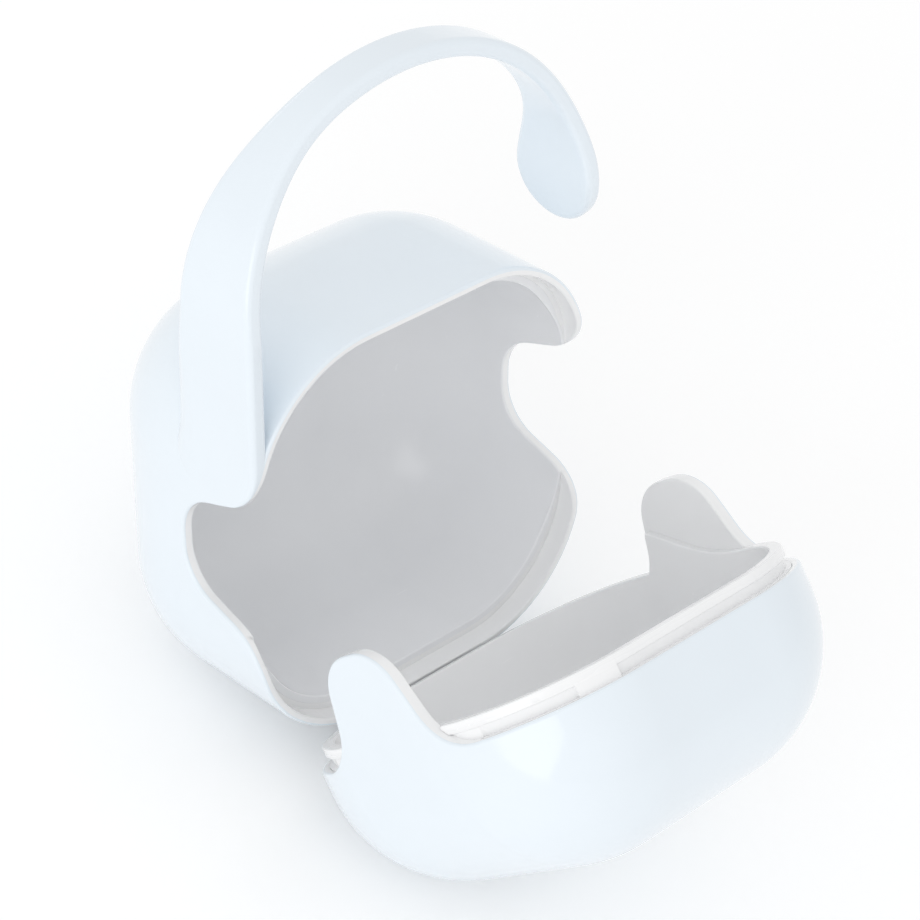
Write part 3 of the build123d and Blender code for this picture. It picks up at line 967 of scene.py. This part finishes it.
def floor_material(studio):
    """A pale floor that keeps the object's shadow. Seen by the camera or in gloss it is a touch
    lighter than as it lights the object."""
    material, tree, _ = new_material("Pale floor")
    tree.nodes.clear()
    path = node(tree, "LightPath").outputs
    seen = maths(tree, "MAXIMUM", path["Is Camera Ray"], path["Is Glossy Ray"])
    bright = node(tree, "Mix", {"Factor": seen}, data_type="RGBA")
    bright.inputs["A"].default_value = (*studio.floor_colour, 1)
    bright.inputs["B"].default_value = (1, 1, 1, 1)
    matt = node(tree, "BsdfDiffuse", {"Color": bright.outputs["Result"]})
    glow = node(tree, "Emission", {"Strength": maths(tree, "MULTIPLY", seen, studio.floor_lift)})
    both = node(tree, "AddShader", {0: matt.outputs[0], 1: glow.outputs[0]})
    node(tree, "OutputMaterial", {"Surface": both.outputs[0]})
    return material


def make_floor(scene):
    """A large round floor, flat round the object."""
    rings = np.array([0, 0.3, 1.0, 3.0, 9.0])
    around = np.linspace(0, 2 * math.pi, 65)[:-1]
    points = np.stack([
        rings[:, None] * np.cos(around), rings[:, None] * np.sin(around), np.zeros((len(rings), len(around)))
    ], -1)
    mesh = clean_mesh("floor", points.reshape(-1, 3), tube_faces(len(rings), len(around)), {})
    mesh.materials.append(floor_material(scene.case_studio))
    floor = bpy.data.objects.new("floor", mesh)
    scene.collection.objects.link(floor)


def make_world(studio):
    """Even light from all round, which the camera sees as white."""
    world = bpy.data.worlds.new("Studio")
    world.use_nodes = True
    tree = world.node_tree
    strength = remap(tree, node(tree, "LightPath").outputs["Is Camera Ray"], to_low=studio.sky)
    feed(tree, tree.nodes["Background"], {"Color": (1, 1, 1, 1), "Strength": strength})
    return world


def stand(scene, data, place, aim, roll=0.0):
    """A lamp or a camera at a place, facing a point."""
    made = bpy.data.objects.new(data.name, data)
    made.location = place
    made.rotation_mode = "QUATERNION"
    made.rotation_quaternion = (aim - place).to_track_quat("-Z", "Y") @ Euler((0, 0, roll)).to_quaternion()
    scene.collection.objects.link(made)
    return made


def make_lamp(scene, name, shape, place, size, power):
    """An area lamp that faces the middle of the object."""
    data = bpy.data.lights.new(name, "AREA")
    data.shape, data.energy = shape, power
    data.size, data.size_y = size
    stand(scene, data, Vector(place), Vector((0, 0, 0.03)))


def make_camera(scene):
    """The photo's viewing angle, aimed at the middle of the body's rim."""
    studio = scene.case_studio
    aim = Vector(placed(scene, np.zeros((1, 3)))[0])
    turn, rise = studio.camera_azimuth, studio.camera_height
    back = Vector((math.sin(turn) * math.cos(rise), -math.cos(turn) * math.cos(rise), math.sin(rise)))
    data = bpy.data.cameras.new("Camera")
    data.sensor_width, data.lens = 36, studio.lens
    data.shift_x, data.shift_y = studio.shift_x, studio.shift_y
    data.clip_start, data.clip_end = 0.01, 50
    scene.camera = stand(scene, data, aim + back * studio.camera_distance, aim, studio.camera_roll)


def make_stage(scene):
    """The floor, the light from all round, two lamps and the camera."""
    studio = scene.case_studio
    make_floor(scene)
    scene.world = make_world(studio)
    make_lamp(scene, "key", "RECTANGLE", (-0.9, -0.35, 0.3), (0.7, 0.7), studio.key)
    make_lamp(scene, "low", "ELLIPSE", (0, 0.52, 0.3), (0.24, 0.02), studio.low)
    make_camera(scene)
    scene.view_settings.view_transform = "Standard"


# Operators

class PieceOperator:
    """What the operators below share: run the maker, and stop the script if it fails."""

    bl_options = {"REGISTER", "UNDO"}

    def execute(self, context):
        type(self).maker(context.scene)
        return {"FINISHED"}


class CASE_OT_body_shell(PieceOperator, Operator):
    """Adds the body's outer moulding"""

    bl_idname = "pacifier_case.body_shell"
    bl_label = "Body shell"
    maker = staticmethod(make_body_shell)


class CASE_OT_body_liner(PieceOperator, Operator):
    """Adds the body's inner cup"""

    bl_idname = "pacifier_case.body_liner"
    bl_label = "Body liner"
    maker = staticmethod(make_body_liner)


class CASE_OT_lid_shell(PieceOperator, Operator):
    """Adds the lid's outer moulding with its ears"""

    bl_idname = "pacifier_case.lid_shell"
    bl_label = "Lid shell"
    maker = staticmethod(make_lid_shell)


class CASE_OT_lid_liner(PieceOperator, Operator):
    """Adds the lid's inner cup with its lip"""

    bl_idname = "pacifier_case.lid_liner"
    bl_label = "Lid liner"
    maker = staticmethod(make_lid_liner)


class CASE_OT_hook(PieceOperator, Operator):
    """Adds the carrying hook"""

    bl_idname = "pacifier_case.hook"
    bl_label = "Carrying hook"
    maker = staticmethod(make_hook)


class CASE_OT_hinge(PieceOperator, Operator):
    """Adds the hinge knuckles and finishes the pin"""

    bl_idname = "pacifier_case.hinge"
    bl_label = "Hinge"

    @staticmethod
    def maker(scene):
        make_knuckles(scene)
        finish_pin(scene)


class CASE_OT_stage(PieceOperator, Operator):
    """Adds the floor, the lamps and the camera"""

    bl_idname = "pacifier_case.stage"
    bl_label = "Stage"
    maker = staticmethod(make_stage)


OPERATORS = (
    CASE_OT_body_shell, CASE_OT_body_liner, CASE_OT_hook, CASE_OT_lid_shell, CASE_OT_lid_liner, CASE_OT_hinge,
    CASE_OT_stage,
)


class CASE_PT_panel(Panel):
    """The case's sizes, finish and steps in the sidebar"""

    bl_label = "Pacifier case"
    bl_idname = "CASE_PT_panel"
    bl_space_type = "VIEW_3D"
    bl_region_type = "UI"
    bl_category = "Case"

    def draw(self, context):
        layout = self.layout
        for operator in OPERATORS:
            layout.operator(operator.bl_idname)
        for name in SETTINGS:
            box = layout.box()
            group = getattr(context.scene, name)
            for key in type(group).__annotations__:
                box.prop(group, key)


add_classes, remove_classes = bpy.utils.register_classes_factory((*SETTINGS.values(), *OPERATORS, CASE_PT_panel))


def register():
    add_classes()
    for name, group in SETTINGS.items():
        setattr(bpy.types.Scene, name, PointerProperty(type=group))


def unregister():
    for name in SETTINGS:
        delattr(bpy.types.Scene, name)
    remove_classes()


def main():
    register()
    for operator in OPERATORS:
        category, step = operator.bl_idname.split(".")
        getattr(getattr(bpy.ops, category), step)()


if __name__ == "__main__":
    main()
